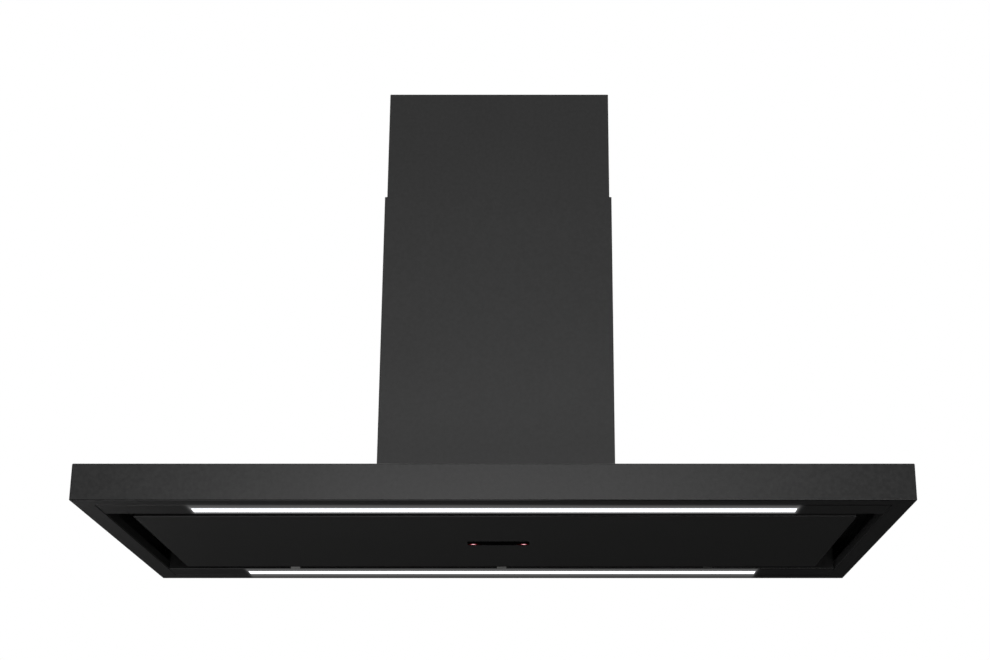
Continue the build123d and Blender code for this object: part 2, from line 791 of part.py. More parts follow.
# Slots in the tray's front wall for the latch tongues
with BuildPart() as tongue_slots:
    with Locations(
        (-bay_center, -tray_depth / 2, tongue_bottom),
        (bay_center, -tray_depth / 2, tongue_bottom),
    ):
        Box(
            latch_tongue_width + 2 * latch_play,
            4 * tray_sheet,
            latch_tongue_height + 2 * latch_play,
            align=(Align.CENTER, Align.CENTER, Align.MIN),
        )
with BuildPart() as slotted_tray:
    add(filter_tray.part)
    with Locations((0, 0, -latch_play)):
        add(tongue_slots.part, mode=Mode.SUBTRACT)
save(slotted_tray, "filter_tray")

for place, bay_x in {"left": -bay_center, "right": bay_center}.items():
    with BuildPart() as filter_frame:
        with BuildSketch(Plane.XY.offset(filter_bottom)):
            with Locations((bay_x, 0)):
                RectangleRounded(filter_width, filter_depth, filter_corner)
            with Locations((bay_x, mesh_center)):
                Rectangle(mesh_open_width, mesh_open_depth, mode=Mode.SUBTRACT)
        extrude(amount=filter_thickness)
        with BuildSketch(Plane.XY.offset(mesh_bottom)):
            with Locations((bay_x, mesh_center)):
                Rectangle(mesh_open_width + 2 * mesh_grip, mesh_open_depth + 2 * mesh_grip)
        extrude(amount=mesh_thickness, mode=Mode.SUBTRACT)
        # Pocket for the latch, open below and in front
        with Locations((bay_x, filter_front, filter_bottom)):
            Box(
                latch_width + 2 * latch_play,
                latch_length + latch_travel + 2 * latch_play,
                latch_height + latch_play,
                align=(Align.CENTER, Align.MIN, Align.MIN),
                mode=Mode.SUBTRACT,
            )
    save(filter_frame, f"filter_frame_{place}")

    with BuildPart() as filter_mesh:
        with BuildSketch(Plane.XY.offset(mesh_bottom)):
            with Locations((bay_x, mesh_center)):
                Rectangle(mesh_open_width + 2 * mesh_grip, mesh_open_depth + 2 * mesh_grip)
                cell_width = mesh_open_width / mesh_columns
                cell_depth = mesh_open_depth / mesh_rows
                with GridLocations(cell_width, cell_depth, mesh_columns, mesh_rows):
                    Polygon(
                        (-cell_width / 2 * mesh_cell_fill, 0),
                        (0, -cell_depth / 2 * mesh_cell_fill),
                        (cell_width / 2 * mesh_cell_fill, 0),
                        (0, cell_depth / 2 * mesh_cell_fill),
                        mode=Mode.SUBTRACT,
                    )
        extrude(amount=mesh_thickness)
    save(filter_mesh, f"filter_mesh_{place}")

    # Latch: a sliding block with a tongue into the tray and a finger grip below
    with BuildPart() as filter_latch:
        with Locations((bay_x, latch_front, filter_bottom)):
            Box(latch_width, latch_length, latch_height, align=(Align.CENTER, Align.MIN, Align.MIN))
        with Locations((bay_x, latch_front, tongue_bottom)):
            Box(
                latch_tongue_width,
                latch_tongue_reach,
                latch_tongue_height,
                align=(Align.CENTER, Align.MAX, Align.MIN),
            )
        with Locations((bay_x, latch_front + latch_length, filter_bottom)):
            Box(latch_width, latch_grip_sheet, latch_grip_depth, align=(Align.CENTER, Align.MAX, Align.MAX))
        fillet(filter_latch.edges().filter_by(Axis.Y).group_by(Axis.Z)[0], radius=latch_grip_depth * 0.6)
    save(filter_latch, f"filter_latch_{place}")

# Blower scroll: the radius grows evenly from the tongue round to the outlet
scroll_end_radius = airbox_side / 2 - scroll_setback
scroll_start_radius = scroll_end_radius - scroll_growth
scroll_axis_z = canopy_top + scroll_end_radius + scroll_foot_gap
airbox_top = scroll_axis_z + scroll_start_radius + airbox_headroom
impeller_radius = scroll_start_radius - impeller_play
inlet_radius = impeller_radius - inlet_step
motor_radius = impeller_radius - blade_depth - motor_air_gap
neck_top = airbox_top - airbox_sheet
scroll_steps = 12
neck_inside = scroll_axis_y + scroll_start_radius * math.cos(math.radians(scroll_tongue_angle))
neck_outside = scroll_axis_y + scroll_end_radius
neck_depth = neck_outside - neck_inside
neck_center = (neck_inside + neck_outside) / 2


def scroll_outline(grow, top):
    """The air path's outline, grown outwards by a wall, up to the given height."""
    tongue_reach = scroll_start_radius * math.cos(math.radians(scroll_tongue_angle)) - grow
    first_angle = math.degrees(math.acos(tongue_reach / (scroll_start_radius + grow)))
    spiral_points = []
    for step in range(scroll_steps + 1):
        angle = first_angle + step / scroll_steps * (360 - first_angle)
        swept = (angle - scroll_tongue_angle) / (360 - scroll_tongue_angle)
        radius = scroll_start_radius + grow + swept * (scroll_end_radius - scroll_start_radius)
        spiral_points.append(
            (
                scroll_axis_y + radius * math.cos(math.radians(angle)),
                scroll_axis_z + radius * math.sin(math.radians(angle)),
            )
        )
    with BuildSketch(Plane.YZ) as outline:
        with BuildLine():
            spiral = Spline(*spiral_points)
            Polyline(spiral @ 1, (neck_outside + grow, top), (neck_inside - grow, top), spiral @ 0)
        make_face()
    return outline.sketch


scroll_skin = scroll_outline(scroll_wall, neck_top)
scroll_joint = scroll_outline(scroll_wall + scroll_rim, neck_top)
scroll_bore = scroll_outline(0, neck_top + scroll_wall)
scroll_plane = Plane((0, scroll_axis_y, scroll_axis_z), x_dir=(0, 1, 0), z_dir=(1, 0, 0))

# Screws that hold the motor's bracket to the scroll's left wall
bracket_reach = inlet_radius + scroll_wall + bracket_overhang
bracket_screw_places = [
    scroll_plane.location
    * Location((0, 0, 0), (0, 0, 90 + arm * 360 / bracket_arms))
    * Location((bracket_reach + bracket_foot / 2, 0, -scroll_width / 2 - bracket_sheet), (180, 0, 0))
    for arm in range(bracket_arms)
]

# Inlet lip: a rounded ring that leads the air into the impeller
with BuildPart() as inlet_ring:
    with BuildSketch(Plane.XZ):
        with Locations((inlet_radius, scroll_width / 2)):
            Rectangle(scroll_wall, inlet_lip, align=(Align.MIN, Align.MIN))
        with Locations((inlet_radius + scroll_wall / 2, scroll_width / 2 + inlet_lip)):
            Circle(scroll_wall)
    revolve(axis=Axis.Z)

for place, side in {"left": -1, "right": 1}.items():
    outer_plane = scroll_plane.offset(side * scroll_width / 2)
    with BuildPart() as scroll:
        extrude(scroll_skin, amount=side * scroll_width / 2)
        extrude(scroll_joint, amount=side * scroll_rim_half)
        extrude(scroll_bore, amount=side * (scroll_width / 2 - scroll_wall), mode=Mode.SUBTRACT)
        with BuildSketch(outer_plane):
            Circle(inlet_radius)
        extrude(amount=-side * scroll_wall, mode=Mode.SUBTRACT)
        with Locations(scroll_plane.location * Location((0, 0, 0), (0, 90 - side * 90, 0))):
            add(inlet_ring.part)
        if side < 0:
            screw_holes(bracket_screw_places, screw_radius, 2 * bracket_sheet)
    save(scroll, f"blower_scroll_{place}")

# Impeller: forward-curved blades between two end rings, on a disc and hub
with BuildPart() as blade:
    with BuildSketch(Plane.XY.offset(-impeller_width / 2)):
        with BuildLine():
            blade_line = ThreePointArc(
                (impeller_radius - blade_depth, 0),
                (impeller_radius - blade_depth / 2, blade_sag),
                (impeller_radius - impeller_ring / 4, 0),
            )
            offset(amount=blade_sheet, side=Side.LEFT)
        make_face()
    extrude(amount=impeller_width)

with BuildPart(scroll_plane) as impeller:
    with PolarLocations(0, blade_count):
        add(blade.part)
    with BuildSketch(
        scroll_plane.offset(-impeller_width / 2),
        scroll_plane.offset(impeller_width / 2 - impeller_ring),
    ):
        Circle(impeller_radius)
        Circle(impeller_radius - blade_depth, mode=Mode.SUBTRACT)
    extrude(amount=impeller_ring)
    with BuildSketch(scroll_plane):
        Circle(impeller_radius)
    extrude(amount=impeller_disc)
    with BuildSketch(scroll_plane):
        Circle(hub_radius)
    extrude(amount=hub_length)
    with BuildSketch(scroll_plane):
        Circle(shaft_radius)
    extrude(amount=hub_length, mode=Mode.SUBTRACT)
save(impeller, "impeller")

# Motor: it sits inside the left half of the impeller, held by a three-armed bracket
motor_face = -motor_gap
bracket_seat = -scroll_width / 2 - inlet_lip - scroll_wall - bracket_play
with BuildPart() as motor:
    with BuildSketch(scroll_plane.offset(bracket_seat)):
        Circle(motor_radius)
    extrude(amount=motor_face - bracket_seat)
    fillet(motor.faces().filter_by(GeomType.PLANE).edges(), radius=motor_edge)
    with BuildSketch(scroll_plane.offset(motor_face)):
        Circle(motor_nose_radius)
    extrude(amount=motor_nose_length)
    with BuildSketch(scroll_plane.offset(motor_face + motor_nose_length)):
        Circle(shaft_radius + running_play)
    extrude(amount=-shaft_engagement - motor_nose_length, mode=Mode.SUBTRACT)
save(motor, "motor")

with BuildPart() as motor_shaft:
    with BuildSketch(scroll_plane.offset(motor_face - shaft_engagement + running_play)):
        Circle(shaft_radius)
    extrude(amount=shaft_engagement - running_play - motor_face + hub_length)
save(motor_shaft, "motor_shaft")

with BuildPart() as motor_bracket:
    with BuildSketch(scroll_plane.offset(bracket_seat)):
        Circle(motor_radius)
        with PolarLocations(0, bracket_arms, start_angle=90):
            Rectangle(bracket_reach, bracket_arm_width, align=(Align.MIN, Align.CENTER))
        Circle(motor_radius - bracket_arm_width, mode=Mode.SUBTRACT)
    extrude(amount=-bracket_sheet)
    # Risers, and feet that stand on the scroll's side wall
    with BuildSketch(scroll_plane.offset(bracket_seat - bracket_sheet)):
        with PolarLocations(bracket_reach - bracket_sheet, bracket_arms, start_angle=90):
            Rectangle(bracket_sheet, bracket_arm_width, align=(Align.MIN, Align.CENTER))
    extrude(amount=bracket_sheet - scroll_width / 2 - bracket_seat)
    with BuildSketch(scroll_plane.offset(-scroll_width / 2)):
        with PolarLocations(bracket_reach - bracket_sheet, bracket_arms, start_angle=90):
            Rectangle(bracket_foot + bracket_sheet, bracket_arm_width, align=(Align.MIN, Align.CENTER))
    extrude(amount=-bracket_sheet)
    screw_holes(bracket_screw_places, screw_radius, 2 * bracket_sheet)
save(motor_bracket, "motor_bracket")

with BuildPart() as motor_screws:
    with Locations(*bracket_screw_places):
        add(
            pan_screw(
                screw_radius,
                bracket_sheet + scroll_wall + bracket_screw_point,
                screw_head_radius,
                screw_head_height,
            )
        )
save(motor_screws, "motor_screws")

# Airbox: a folded box over the intake, open below, with a flange that is screwed down
with BuildPart() as airbox:
    with BuildSketch(Plane.XY.offset(canopy_top)):
        RectangleRounded(airbox_side, airbox_side, canopy_bend)
    extrude(amount=airbox_top - canopy_top)
    offset(amount=-airbox_sheet, openings=airbox.faces().sort_by(Axis.Z)[0])
    with BuildSketch(Plane.XY.offset(canopy_top)):
        Rectangle(airbox_side + 2 * airbox_flange, airbox_side + 2 * airbox_flange)
        Rectangle(airbox_side - 2 * airbox_sheet, airbox_side - 2 * airbox_sheet, mode=Mode.SUBTRACT)
    extrude(amount=airbox_sheet)
    screw_holes(airbox_screw_places, screw_radius, 2 * airbox_sheet)
    with BuildSketch(Plane.XY.offset(neck_top)):
        with Locations((0, neck_center)):
            Rectangle(scroll_width - 2 * scroll_wall, neck_depth)
    extrude(amount=airbox_sheet, mode=Mode.SUBTRACT)
save(airbox, "airbox")

# Outlet collar: a flange and a transition from the scroll's rectangle to the round spigot
collar_base = airbox_top + collar_wall
spigot_base = collar_base + collar_loft_height
damper_z = spigot_base + damper_height
collar_bore = collar_radius - collar_wall
damper_plane = Plane((0, neck_center, damper_z))


def collar_body(grow):
    """The transition and spigot as a solid, grown outwards by a wall."""
    with BuildPart() as body:
        with BuildSketch(Plane.XY.offset(airbox_top)):
            with Locations((0, neck_center)):
                RectangleRounded(
                    scroll_width - 2 * scroll_wall + 2 * grow,
                    neck_depth + 2 * grow,
                    collar_flange + grow,
                )
        with BuildSketch(Plane.XY.offset(spigot_base)):
            with Locations((0, neck_center)):
                Circle(collar_bore + grow)
        loft()
        with BuildSketch(Plane.XY.offset(spigot_base)):
            with Locations((0, neck_center)):
                Circle(collar_bore + grow)
        extrude(amount=collar_spigot)
    return body.part


with BuildPart() as outlet_collar:
    add(collar_body(collar_wall))
    with BuildSketch(Plane.XY.offset(airbox_top)):
        with Locations((0, neck_center)):
            RectangleRounded(
                scroll_width + 2 * collar_flange,
                neck_depth + 2 * collar_flange,
                collar_flange,
            )
    extrude(amount=collar_wall)
    add(collar_body(0), mode=Mode.SUBTRACT)
    # Stops that the flaps rest on, and holes for the pin
    with BuildSketch(damper_plane.offset(-damper_sheet / 2 - damper_rest_gap)):
        with PolarLocations(collar_bore - damper_stop_reach, 2):
            Rectangle(damper_stop_reach + collar_wall / 2, damper_stop_width, align=(Align.MIN, Align.CENTER))
    extrude(amount=-damper_stop_height)
    with BuildSketch(Plane.XZ.offset(-neck_center)):
        with Locations((0, damper_z)):
            Circle(damper_pin_radius)
    extrude(amount=collar_radius, both=True, mode=Mode.SUBTRACT)
save(outlet_collar, "outlet_collar")

with BuildPart() as damper_pin:
    with BuildSketch(Plane.XZ.offset(-neck_center)):
        with Locations((0, damper_z)):
            Circle(damper_pin_radius)
    extrude(amount=collar_bore + collar_wall / 2, both=True)
save(damper_pin, "damper_pin")

# Damper flaps: two half discs, each with two eyes on the pin
flap_eye_places = {"left": (-3.5, 1.5), "right": (-1.5, 3.5)}
for place, side in {"left": -1, "right": 1}.items():
    with BuildPart() as damper_flap:
        with BuildSketch(damper_plane.offset(-damper_sheet / 2)):
            Circle(collar_bore - damper_rim_play)
            with Locations((-side * collar_radius, 0)):
                Rectangle(2 * (collar_radius + damper_root), 2 * collar_radius, mode=Mode.SUBTRACT)
        extrude(amount=damper_sheet)
        for step in flap_eye_places[place]:
            with BuildSketch(Plane.XZ.offset(-neck_center - step * damper_eye_pitch)):
                with Locations((0, damper_z)):
                    Circle(damper_eye_radius)
                    Rectangle(
                        damper_root + damper_sheet,
                        damper_sheet,
                        align=(Align.MIN if side > 0 else Align.MAX, Align.CENTER),
                    )
                    Circle(damper_pin_radius + running_play, mode=Mode.SUBTRACT)
            extrude(amount=damper_eye_length / 2, both=True)
    save(damper_flap, f"damper_flap_{place}")

# Control box: an open tray on the airbox, closed by a ribbed lid
control_bottom = canopy_top + control_lift
control_center = control_bottom + control_height / 2
control_top = control_bottom + control_height
control_plane = Plane((0, control_back, control_center), x_dir=(1, 0, 0), z_dir=(0, -1, 0))
with BuildPart() as control_box:
    with BuildSketch(control_plane):
        RectangleRounded(control_width, control_height, 2 * control_wall)
    extrude(amount=control_depth - control_wall)
    offset(amount=-control_wall, openings=control_box.faces().sort_by(Axis.Y)[0])
    with BuildSketch(Plane.XY.offset(control_top)):
        with Locations((gland_offset, gland_y)):
            Circle(gland_thread_radius)
    extrude(amount=-control_wall, mode=Mode.SUBTRACT)
save(control_box, "control_box")

with BuildPart() as control_lid:
    with BuildSketch(control_plane.offset(control_depth - control_wall)):
        RectangleRounded(control_width, control_height, 2 * control_wall)
    extrude(amount=control_wall)
    with BuildSketch(control_plane.offset(control_depth - control_wall)):
        RectangleRounded(control_width - 2 * control_wall, control_height - 2 * control_wall, control_wall)
        RectangleRounded(
            control_width - 4 * control_wall,
            control_height - 4 * control_wall,
            control_wall,
            mode=Mode.SUBTRACT,
        )
    extrude(amount=-control_wall)
    fillet(control_lid.faces().sort_by(Axis.Y)[0].edges(), radius=control_wall / 2)
save(control_lid, "control_lid")

# Cable gland for the mains lead: a hexagon, a domed nut and a through bore
with BuildPart() as cable_gland:
    with BuildSketch(Plane((gland_offset, gland_y, control_top - control_wall))):
        Circle(gland_thread_radius)
    extrude(amount=control_wall)
    with BuildSketch(Plane((gland_offset, gland_y, control_top))):
        RegularPolygon(gland_hex_radius, 6)
    extrude(amount=gland_hex_height)
    with BuildSketch(Plane((gland_offset, gland_y, control_top + gland_hex_height))):
        Circle(gland_body_radius)
    extrude(amount=gland_length - gland_hex_height)
    fillet(cable_gland.faces().sort_by(Axis.Z)[-1].edges(), radius=gland_body_radius - gland_bore_radius - 1)
    with BuildSketch(Plane((gland_offset, gland_y, control_top - control_wall))):
        Circle(gland_bore_radius)
    extrude(amount=gland_length + control_wall, mode=Mode.SUBTRACT)
save(cable_gland, "cable_gland")
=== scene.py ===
import math

import bmesh
import bpy
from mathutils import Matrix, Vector


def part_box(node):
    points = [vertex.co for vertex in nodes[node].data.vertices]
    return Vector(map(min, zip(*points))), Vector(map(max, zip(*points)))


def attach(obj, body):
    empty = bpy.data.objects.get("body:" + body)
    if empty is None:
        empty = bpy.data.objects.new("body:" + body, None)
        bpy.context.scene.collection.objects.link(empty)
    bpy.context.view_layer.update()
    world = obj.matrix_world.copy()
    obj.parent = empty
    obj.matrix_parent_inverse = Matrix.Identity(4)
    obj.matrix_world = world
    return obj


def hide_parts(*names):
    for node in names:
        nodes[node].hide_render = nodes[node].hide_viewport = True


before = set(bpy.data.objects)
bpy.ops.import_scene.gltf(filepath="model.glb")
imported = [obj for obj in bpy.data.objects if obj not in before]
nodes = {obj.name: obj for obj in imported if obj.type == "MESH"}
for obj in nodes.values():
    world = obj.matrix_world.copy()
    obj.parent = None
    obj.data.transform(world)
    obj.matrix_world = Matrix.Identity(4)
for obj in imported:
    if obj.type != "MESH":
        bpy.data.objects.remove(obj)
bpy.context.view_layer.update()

# Island chimney hood in black powder coated steel, hung from the ceiling.
# Everything is in metres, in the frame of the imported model: +Z up, the front faces -Y.

scene = bpy.context.scene
mm = 0.001


def hexColour(code):
    # sRGB hex to the linear values that shaders want
    values = [int(code[i:i + 2], 16) / 255 for i in (0, 2, 4)]
    return [v / 12.92 if v <= 0.04045 else ((v + 0.055) / 1.055) ** 2.4 for v in values] + [1.0]


def addNode(tree, kind, settings=None, links=None):
    # one node: settings go to its properties or sockets, links to its sockets
    node = tree.nodes.new(kind)
    for key, value in (settings or {}).items():
        if isinstance(key, str) and key not in node.inputs:
            setattr(node, key, value)
        else:
            node.inputs[key].default_value = value
    for key, source in (links or {}).items():
        tree.links.new(source, node.inputs[key])
    return node


def newMaterial(name, look):
    # a Principled material with the plain values of its dictionary
    material = bpy.data.materials.new(name)
    material.use_nodes = True
    tree = material.node_tree
    shader = tree.nodes["Principled BSDF"]
    shader.inputs["Base Color"].default_value = hexColour(look["colour"])
    for socket, key in (("Roughness", "roughness"), ("Metallic", "metallic"), ("IOR", "ior"),
                        ("Specular IOR Level", "specular")):
        if key in look:
            shader.inputs[socket].default_value = look[key]
    place = addNode(tree, "ShaderNodeTexCoord")
    return material, tree, shader, place.outputs["Object"]


def largestPart(tree, vector):
    # the largest of a vector's three values
    parts = addNode(tree, "ShaderNodeSeparateXYZ", links={0: vector})
    largest = addNode(tree, "ShaderNodeMath", {"operation": "MAXIMUM"},
                      {0: parts.outputs["X"], 1: parts.outputs["Y"]})
    largest = addNode(tree, "ShaderNodeMath", {"operation": "MAXIMUM"},
                      {0: largest.outputs[0], 1: parts.outputs["Z"]})
    return largest.outputs[0]


def pastBox(tree, place, low, high, inset):
    # how far a point lies past the sides of a box that is smaller by inset, negative inside it
    past = addNode(tree, "ShaderNodeVectorMath", {"operation": "SUBTRACT", 1: (low + high) / 2},
                   {0: place})
    past = addNode(tree, "ShaderNodeVectorMath", {"operation": "ABSOLUTE"}, {0: past.outputs[0]})
    past = addNode(tree, "ShaderNodeVectorMath",
                   {"operation": "SUBTRACT", 1: (high - low) / 2 - inset}, {0: past.outputs[0]})
    return past.outputs[0]


# The part of the noises' sum that runs from the dark to the light colour
noiseSpan = (0.45, 1.05)
noiseDetail = 2.0


def grainy(name, look):
    # colour, roughness and bump that vary at two sizes: a fine grain and a broad drift
    material, tree, shader, place = newMaterial(name, look)
    stretch = addNode(tree, "ShaderNodeMapping", {"Scale": look.get("stretch", (1, 1, 1))},
                      {"Vector": place})
    fine = addNode(tree, "ShaderNodeTexNoise",
                   {"Scale": 1 / (look["grainMm"] * mm), "Detail": noiseDetail},
                   {"Vector": stretch.outputs["Vector"]})
    broad = addNode(tree, "ShaderNodeTexNoise",
                    {"Scale": 1 / (look["driftMm"] * mm), "Detail": noiseDetail},
                    {"Vector": place})
    both = addNode(tree, "ShaderNodeMath",
                   {"operation": "MULTIPLY_ADD", 1: look.get("driftShare", 0.5)},
                   {0: broad.outputs["Fac"], 2: fine.outputs["Fac"]})
    spread = addNode(tree, "ShaderNodeMapRange",
                     {"From Min": noiseSpan[0], "From Max": noiseSpan[1]},
                     {"Value": both.outputs[0]})
    tint = addNode(tree, "ShaderNodeMix",
                   {"data_type": "RGBA", 6: hexColour(look["dark"]), 7: hexColour(look["light"])},
                   {0: spread.outputs[0]})
    sheen = addNode(tree, "ShaderNodeMapRange",
                    {"To Min": look["roughness"] - look["roughSpread"],
                     "To Max": look["roughness"] + look["roughSpread"]},
                    {"Value": fine.outputs["Fac"]})
    bump = addNode(tree, "ShaderNodeBump",
                   {"Strength": look["bump"], "Distance": look["bumpMm"] * mm},
                   {"Height": fine.outputs["Fac"]})
    tree.links.new(tint.outputs[2], shader.inputs["Base Color"])
    tree.links.new(sheen.outputs[0], shader.inputs["Roughness"])
    tree.links.new(bump.outputs["Normal"], shader.inputs["Normal"])
    if "bendRoughness" in look:
        smoothBendsWithPaintedShade(tree, shader, look)
    return material, tree, shader, place


# How closely a normal follows an axis: on a flat face, and in the middle of a bend
flatNormal, bentNormal = 0.995, 0.93


def smoothBendsWithPaintedShade(tree, shader, look):
    # a bend is drawn smoother, so that it shines, and darker: the darkening is painted shade, a
    # dark line along each bend
    normal = addNode(tree, "ShaderNodeTexCoord")
    normal = addNode(tree, "ShaderNodeVectorMath", {"operation": "ABSOLUTE"},
                     {0: normal.outputs["Normal"]})
    bend = addNode(tree, "ShaderNodeMapRange", {"From Min": flatNormal, "From Max": bentNormal},
                   {"Value": largestPart(tree, normal.outputs[0])})
    smooth = addNode(tree, "ShaderNodeMix", {"data_type": "FLOAT", 3: look["bendRoughness"]},
                     {0: bend.outputs[0], 2: shader.inputs["Roughness"].links[0].from_socket})
    paintedDarkening = addNode(tree, "ShaderNodeMapRange", {"To Min": 1.0, "To Max": look["bendPaintedShade"]},
                   {"Value": bend.outputs[0]})
    shaded = addNode(tree, "ShaderNodeVectorMath", {"operation": "SCALE"},
                     {0: shader.inputs["Base Color"].links[0].from_socket,
                      "Scale": paintedDarkening.outputs[0]})
    tree.links.new(smooth.outputs[0], shader.inputs["Roughness"])
    tree.links.new(shaded.outputs[0], shader.inputs["Base Color"])


def dress(material, *names):
    # gives CAD nodes this material in all their slots
    for name in names:
        mesh = nodes[name].data
        mesh.materials.clear()
        mesh.materials.append(material)


def dressGrainy(materialName, look, *names):
    material = grainy(materialName, look)[0]
    dress(material, *names)
    return material


def pieceFrom(bm, name, material):
    # a new object with this material from a finished bmesh
    mesh = bpy.data.meshes.new(name)
    bm.to_mesh(mesh)
    bm.free()
    mesh.materials.append(material)
    piece = bpy.data.objects.new(name, mesh)
    scene.collection.objects.link(piece)
    return piece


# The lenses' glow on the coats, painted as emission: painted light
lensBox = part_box("front_light_lens")
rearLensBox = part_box("rear_light_lens")
barFace = lensBox[0].z
paintedGlow = {"shoulderMm": 3.0,  # the rim of a lens that stays dark
         "facing": -0.7,  # faces whose normal points down by more than this catch the glow
         "reachMm": 0.7,  # and so does only what lies this near to the bars' face
         "colour": "fafafa"}


def paintedLensGlow(tree, shader, place, lenses):
    # painted light: the glow that the opal lenses throw sideways onto the coat beside them, drawn
    # as emission that fades with distance
    shoulder = Vector((paintedGlow["shoulderMm"], paintedGlow["shoulderMm"], 0)) * mm
    total = None
    for lens in lenses:
        away = addNode(tree, "ShaderNodeVectorMath", {"operation": "MAXIMUM"},
                       {0: pastBox(tree, place, *lens["box"], shoulder)})
        # a strip throws little light past its ends, so the painted glow stops soon there
        away = addNode(tree, "ShaderNodeVectorMath",
                       {"operation": "MULTIPLY", 1: (lens["endwise"], 1, 0)},
                       {0: away.outputs[0]})
        away = addNode(tree, "ShaderNodeVectorMath", {"operation": "LENGTH"},
                       {0: away.outputs[0]})
        fade = addNode(tree, "ShaderNodeMath",
                       {"operation": "MULTIPLY", 1: -1 / (lens["fadeMm"] * mm)},
                       {0: away.outputs["Value"]})
        fade = addNode(tree, "ShaderNodeMath", {"operation": "EXPONENT"}, {0: fade.outputs[0]})
        glow = addNode(tree, "ShaderNodeMath", {"operation": "MULTIPLY", 1: lens["power"]},
                       {0: fade.outputs[0]})
        if total is None:
            total = glow
        else:
            total = addNode(tree, "ShaderNodeMath", {"operation": "ADD"},
                            {0: total.outputs[0], 1: glow.outputs[0]})
    facing = addNode(tree, "ShaderNodeTexCoord")
    facing = addNode(tree, "ShaderNodeSeparateXYZ", links={0: facing.outputs["Normal"]})
    below = addNode(tree, "ShaderNodeMath", {"operation": "LESS_THAN", 1: paintedGlow["facing"]},
                    {0: facing.outputs["Z"]})
    height = addNode(tree, "ShaderNodeSeparateXYZ", links={0: place})
    near = addNode(tree, "ShaderNodeMath",
                   {"operation": "LESS_THAN", 1: barFace + paintedGlow["reachMm"] * mm},
                   {0: height.outputs["Z"]})
    below = addNode(tree, "ShaderNodeMath", {"operation": "MULTIPLY"},
                    {0: below.outputs[0], 1: near.outputs[0]})
    lit = addNode(tree, "ShaderNodeMath", {"operation": "MULTIPLY"},
                  {0: total.outputs[0], 1: below.outputs[0]})
    shader.inputs["Emission Color"].default_value = hexColour(paintedGlow["colour"])
    tree.links.new(lit.outputs[0], shader.inputs["Emission Strength"])


# Powder coated steel
# Polyester powder, baked: matt black with a fine leathery grain, no gloss and no metal showing
canopyCoat = {
    "colour": "2d2d2d", "dark": "242424", "light": "363636", "roughness": 0.46,
    "roughSpread": 0.06, "ior": 1.5,
    "grainMm": 5.5,  # the real grain is 0.3 mm; drawn coarser so that it shows
    "driftMm": 160, "driftShare": 0.35, "bump": 0.32, "bumpMm": 0.3,
    # on the bends a smoother coat, and a darkening there that is painted shade
    "bendRoughness": 0.2, "bendPaintedShade": 0.4,
}
frontPaintedGlow = {"box": lensBox, "power": 0.29, "fadeMm": 10.5, "endwise": 5.7}
rearPaintedGlow = {"box": rearLensBox, "power": 0.2, "fadeMm": 19.0, "endwise": 12.0}
powderCanopy, tree, shader, place = grainy("powderCoatedSteelCanopy", canopyCoat)
# the canopy's lip starts past the bar's edge, where the front lamp's painted glow dies away sooner
lipPaintedGlow = dict(frontPaintedGlow, power=0.3, fadeMm=6.5, endwise=7.0)
paintedLensGlow(tree, shader, place, [lipPaintedGlow, rearPaintedGlow])
dress(powderCanopy, "canopy_shell")

# Inside the mouth the coat is painted a flat near black with no sheen: painted shade, so that the
# gap round the panel stays black
mouthPaintedShade = {"sideMm": 4.0, "lipMm": 1.5, "colour": "0c0c0c", "roughness": 0.9}
rim = Vector((mouthPaintedShade["sideMm"], mouthPaintedShade["sideMm"], mouthPaintedShade["lipMm"])) * mm
past = largestPart(tree, pastBox(tree, place, *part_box("canopy_shell"), rim))
inside = addNode(tree, "ShaderNodeMath", {"operation": "LESS_THAN", 1: 0.0}, {0: past})
shadedMouthColour = addNode(tree, "ShaderNodeMix", {"data_type": "RGBA", 7: hexColour(mouthPaintedShade["colour"])},
                 {0: inside.outputs[0], 6: shader.inputs["Base Color"].links[0].from_socket})
dull = addNode(tree, "ShaderNodeMix", {"data_type": "FLOAT", 3: mouthPaintedShade["roughness"]},
               {0: inside.outputs[0], 2: shader.inputs["Roughness"].links[0].from_socket})
tree.links.new(shadedMouthColour.outputs[2], shader.inputs["Base Color"])
tree.links.new(dull.outputs[0], shader.inputs["Roughness"])

# the chimney's coat is the canopy's powder made lighter: painted light, raising the chimney to the
# brightness it has in the light
lightenedChimneyCoat = dict(canopyCoat, colour="383838", dark="333333", light="3d3d3d", roughness=0.56,
                   bump=0.14)
dressGrainy("powderCoatedSteelChimney", lightenedChimneyCoat, "lower_chimney_front", "lower_chimney_rear",
            "upper_chimney_front", "upper_chimney_rear")

barCoat = dict(canopyCoat, colour="2c2c2c", dark="252525", light="333333", roughness=0.45)
powderBar, tree, shader, place = grainy("powderCoatedSteelBars", barCoat)
# the lenses' glow on the bars is painted light, drawn as emission
paintedLensGlow(tree, shader, place, [frontPaintedGlow, rearPaintedGlow])
dress(powderBar, "front_light_bar", "rear_light_bar")

# Satin enamel on the panel: smoother and darker than the powder coat, a soft broad sheen
panelCoat = {
    "colour": "2c2c2c", "dark": "282828", "light": "303030", "roughness": 0.42,
    "roughSpread": 0.03, "ior": 1.5, "grainMm": 3.0, "driftMm": 220, "driftShare": 0.8,
    # the same smoother bends with their painted shade
    "bump": 0.06, "bumpMm": 0.15, "bendRoughness": 0.2, "bendPaintedShade": 0.4,
}
dressGrainy("satinEnamelledSteelPanel", panelCoat, "perimeter_panel")
print("coats done")

